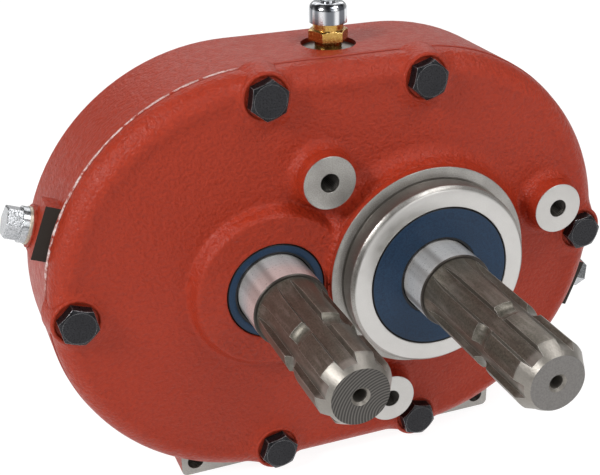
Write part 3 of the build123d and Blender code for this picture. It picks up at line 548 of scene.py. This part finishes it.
def arc(centre, radius, first, last, steps):
    """Points of an arc in an outline, with the angles in degrees."""
    angles = np.radians(np.linspace(first, last, steps))
    return [(centre[0] + radius * math.cos(a), centre[1] + radius * math.sin(a)) for a in angles]


def smooth(value):
    """0 to 1 with level ends as value goes from 0 to 1."""
    value = np.clip(value, 0.0, 1.0)
    return value * value * (3.0 - 2.0 * value)


def flare(distance, wall, reach):
    """Height of a round root fillet of radius reach against a wall at that distance."""
    t = np.clip((wall + reach - distance) / reach, 0.0, 1.0)
    return reach * (1.0 - np.sqrt(1.0 - t * t))


MAIN_WALL, MAIN_ROOT = 54.4, 8.5
STUD_WALL, STUD_ROOT = 14.5, 5.0
BOLT_WALL, BOLT_ROOT = 12.4, 6.0
PAD_HEIGHT = 7.4
PAD_RADIUS, PAD_ROOT = 43.8, 5.6
RIM_SWELL, RIM_REACH, RIM_WIDTH = 0.9, 97.0, 4.6
RIM_FROM = 70.0
BOLT_RAISE, BOLT_SLOPE = 1.5, 0.4
BLEND = 3
SUNK = 15.0
SEAL_OPENING = 25.7
BEARING_OPENING = 37.0
COLLAR_OPENING = 48.0


def cover_surface(x, z, base, reach):
    """Depth of the cast front face at (x, z), from base, the depth of the plain rounded cover there.

    The raised parts blend softly, and under the turned bosses the casting is sunk out of sight.
    """
    swell = RIM_SWELL * np.exp(-(((reach - RIM_REACH) / RIM_WIDTH) ** 2))
    raises = [np.where(reach > RIM_FROM, swell, 0.0)]
    pad = np.hypot(x - PINION_X, z)
    main = np.hypot(x - MAIN_X, z)
    raises.append(PAD_HEIGHT * smooth((PAD_RADIUS - pad) / PAD_ROOT))
    raises.append(flare(main, MAIN_WALL, MAIN_ROOT))
    inside = main < MAIN_WALL - 1.8
    for place in STUDS:
        away = np.hypot(x - place[0], z - place[1])
        raises.append(flare(away, STUD_WALL, STUD_ROOT))
        inside |= away < STUD_WALL - 1.6
    for place in BOLTS:
        away = np.hypot(x - place[0], z - place[1])
        t = np.clip((BOLT_WALL + BOLT_ROOT - away) / BOLT_ROOT, 0.0, 1.0)
        raises.append((BOLT_RAISE + BOLT_SLOPE * np.clip(base - COVER_FACE, 0.0, 8.0)) * t * t)
        inside |= away < BOLT_WALL - 1.5
    total = sum(one**BLEND for one in raises) ** (1.0 / BLEND)
    uneven = 0.10 * np.sin(x / 17.0 + 0.6) * np.sin(z / 13.0)
    uneven += 0.06 * np.sin(x / 7.3) * np.cos(z / 8.9)
    depth = base - total + np.where(base < COVER_FACE + 0.1, uneven, 0.0)
    return np.where(inside, np.maximum(depth, SUNK), depth)


def obround_line(turns, lengths):
    """(centre x, unit x, unit z) of the stations round two circles joined by tangent lines."""
    right = np.radians(np.linspace(-90, 90, turns, endpoint=False))
    left = right + math.pi
    across = np.linspace(MAIN_X, PINION_X, lengths, endpoint=False)
    back = across[::-1] + (PINION_X - MAIN_X - across[-1])
    centre = np.concatenate([np.full(turns, MAIN_X), across, np.full(turns, PINION_X), back])
    turn = np.concatenate([right, np.full(lengths, math.pi / 2), left, np.full(lengths, -math.pi / 2)])
    return centre, np.cos(turn), np.sin(turn)


def make_cover():
    """The cast cover, as rings from the line between the shafts out to the rim and round its back."""
    centre, side, rise = obround_line(330, 84)
    rim = np.radians(np.linspace(0, 90, 17))
    rings = [(r, COVER_FACE) for r in np.linspace(0.4, COVER_RADIUS - COVER_EDGE, 100)]
    corner_reach, corner_depth = COVER_RADIUS - COVER_EDGE, COVER_FACE + COVER_EDGE
    rings += [
        (corner_reach + COVER_EDGE * math.sin(a), corner_depth - COVER_EDGE * math.cos(a)) for a in rim[1:]
    ]
    front = len(rings)
    rings += [(COVER_RADIUS, COVER_BACK), (MOUTH_RADIUS, COVER_BACK)]
    rings += [(r, INNER_FACE) for r in (MOUTH_RADIUS, 60.0, 45.0)]
    reach = np.array([ring[0] for ring in rings])[:, None]
    depth = np.array([ring[1] for ring in rings])[:, None]
    x = centre[None, :] + reach * side[None, :]
    z = reach * rise[None, :]
    y = np.repeat(depth, x.shape[1], axis=1)
    y[:front] = cover_surface(x[:front], z[:front], y[:front], reach[:front])
    pad = np.hypot(x - PINION_X, z)
    main = np.hypot(x - MAIN_X, z)
    outside = np.arange(len(rings))[:, None] < front
    gone = np.where(outside, pad < SEAL_OPENING, pad < BEARING_OPENING) | (main < COLLAR_OPENING)
    columns = x.shape[1]
    faces = []
    for j in range(len(rings) - 1):
        for i in range(columns):
            k = (i + 1) % columns
            if not (gone[j, i] and gone[j, k] and gone[j + 1, i] and gone[j + 1, k]):
                here, there = j * columns, (j + 1) * columns
                faces.append((here + i, there + i, there + k, here + k))
    snap = outside & (pad < SEAL_OPENING)
    grow = np.where(snap, SEAL_OPENING / np.maximum(pad, 1.0), 1.0)
    x = PINION_X + (x - PINION_X) * grow
    z = z * grow
    places = np.stack([x.ravel(), y.ravel(), z.ravel()], axis=1)
    make_piece("cast_cover", places, faces, COVER_ENAMEL, "cover_paint", ("front_cover",))


def make_turned_bosses():
    """Machined collar, pinion bore, tapped bosses and bolt seats, as outlines of (radius, depth)."""
    collar = [(22.6, 6.0), (22.6, -1.8), (37.0, -1.8)]
    collar += arc((37.5, -11.5), 0.5, 180, 270, 4)
    collar += [(45.3, -12.0), (45.55, -11.9), (47.3, -10.1), (47.5, -9.8)]
    collar += [(47.5, -1.6), (46.8, -1.45), (46.8, 0.0)]
    collar += arc((52.75, 0.5), 0.5, 270, 360, 4) + [(55.0, 12.6), (55.0, 20.0), (49.0, 20.0)]
    collar += [(49.0, COVER_BACK), (40.05, COVER_BACK), (40.05, 6.0)]
    bore = [(34.05, 14.0), (22.6, 14.0), (22.6, 11.8), (25.0, 11.8), (25.0, 5.1)]
    bore += arc((25.5, 5.1), 0.5, 180, 270, 4)
    bore += [(27.0, 4.6), (30.0, 5.6), (36.5, 8.0), (39.5, 20.0), (40.0, 29.0), (34.05, 29.0)]
    make_piece("turned_collar", *lathe([(collar, (MAIN_X, 0.0))], 220), COVER_ENAMEL, "cover_paint")
    make_piece("pinion_bore", *lathe([(bore, (PINION_X, 0.0))], 160), COVER_ENAMEL, "cover_paint")
    stud = [(0.1, 19.0), (4.25, 18.6), (4.25, 0.6), (4.85, 0.0)]
    stud += arc((12.75, 0.55), 0.55, 270, 360, 4) + [(14.9, 12.2), (15.2, 19.9), (0.1, 19.9)]
    studs = [(stud, place) for place in STUDS]
    make_piece("tapped_bosses", *lathe(studs, 96), COVER_ENAMEL, "cover_paint")
    lip = [(5.3, 11.2), (9.9, 11.2)]
    lip += arc((11.2, 11.2), 1.2, 195, 350, 9)
    lip += [(12.5, 12.5), (13.4, 18.0), (14.2, COVER_BACK), (5.3, COVER_BACK)]
    seats = [(lip, place) for place in BOLTS]
    make_piece("bolt_bosses", *lathe(seats, 72), COVER_ENAMEL, "cover_paint")


def make_bead():
    """Sealant that was squeezed out of the joint, thicker and ragged on the left."""
    centre, side, rise = obround_line(420, 110)
    along = np.arange(len(centre))
    ragged = 0.5 + 0.5 * np.sin(along / 3.1 + 2.0 * np.sin(along / 11.0)) * np.sin(along / 7.7)
    left = smooth((-150.0 - (centre + CASE_RADIUS * side)) / 30.0) * smooth((rise + 0.1) / 0.1)
    size = 0.46 + 0.20 * ragged * (0.3 + 1.6 * left)
    places, faces, count = [], [], 8
    for k in along:
        for step in range(count):
            turn = 2 * math.pi * step / count
            reach = COVER_RADIUS + 0.15 + 1.1 * size[k] * math.cos(turn)
            depth = BEAD_DEPTH + size[k] * math.sin(turn) * 1.3
            places.append((centre[k] + reach * side[k], depth, reach * rise[k]))
    total = len(along)
    for k in range(total):
        here, there = k * count, (k + 1) % total * count
        faces += strip(here, there, count)
    make_piece("sealant_bead", places, faces, BEAD, "sealant")


make_cover()
make_turned_bosses()
make_bead()


# ---- floor, backdrop and light -----------------------------------------------------------------------
def make_stage():
    g = Graph("studio_paper")
    g.set(base_color=g.mix(g.noise(400.0, 2.0), (0.16, 0.16, 0.16), (0.18, 0.18, 0.18)))
    g.shader.inputs["Roughness"].default_value = 0.9
    g.shader.inputs["Specular IOR Level"].default_value = 0.0
    g.shader.inputs["Emission Color"].default_value = (1.0, 1.0, 1.0, 1.0)
    g.shader.inputs["Emission Strength"].default_value = 0.92
    mesh = bpy.data.meshes.new("floor")
    reach = 20.0
    level = cad_box[0].z
    corners = [(x * reach, y * reach, level) for x, y in ((-1, -1), (1, -1), (1, 1), (-1, 1))]
    mesh.from_pydata(corners, [], [(0, 1, 2, 3)])
    mesh.materials.append(g.material)
    floor = bpy.data.objects.new("floor", mesh)
    bpy.context.scene.collection.objects.link(floor)


def make_light(name, place, width, height, power):
    """A soft rectangular lamp that faces the origin."""
    data = bpy.data.lights.new(name, "AREA")
    data.shape = "RECTANGLE"
    data.size = width
    data.size_y = height
    data.energy = power
    light = bpy.data.objects.new(name, data)
    bpy.context.scene.collection.objects.link(light)
    light.location = place
    light.rotation_euler = (-Vector(place)).to_track_quat("-Z", "Y").to_euler()


def make_world():
    """A grey studio with soft dark and bright cards that the bare metal reflects."""
    world = bpy.data.worlds.new("studio")
    bpy.context.scene.world = world
    world.use_nodes = True
    tree = world.node_tree
    sky = tree.nodes["Background"]
    where = tree.nodes.new("ShaderNodeTexCoord")
    cards = tree.nodes.new("ShaderNodeTexNoise")
    cards.inputs["Scale"].default_value = 1.3
    cards.inputs["Detail"].default_value = 0.0
    level = tree.nodes.new("ShaderNodeMapRange")
    for socket, number in zip(list(level.inputs)[1:5], (0.35, 0.65, 0.12, 0.9)):
        socket.default_value = number
    tree.links.new(where.outputs["Generated"], cards.inputs["Vector"])
    tree.links.new(cards.outputs["Fac"], level.inputs[0])
    tree.links.new(level.outputs[0], sky.inputs["Color"])
    sky.inputs["Strength"].default_value = 0.45


make_world()
make_stage()
make_light("key", (-1.15, -0.38, 0.85), 0.4, 0.4, 14.0)
make_light("top", (0.30, -0.40, 0.95), 0.6, 0.3, 4.5)
make_light("front", (0.35, -1.3, 0.6), 1.0, 0.7, 4.0)
make_light("back", (0.35, 1.2, 1.0), 1.6, 0.9, 7.5)
bpy.context.scene.view_settings.view_transform = "Standard"
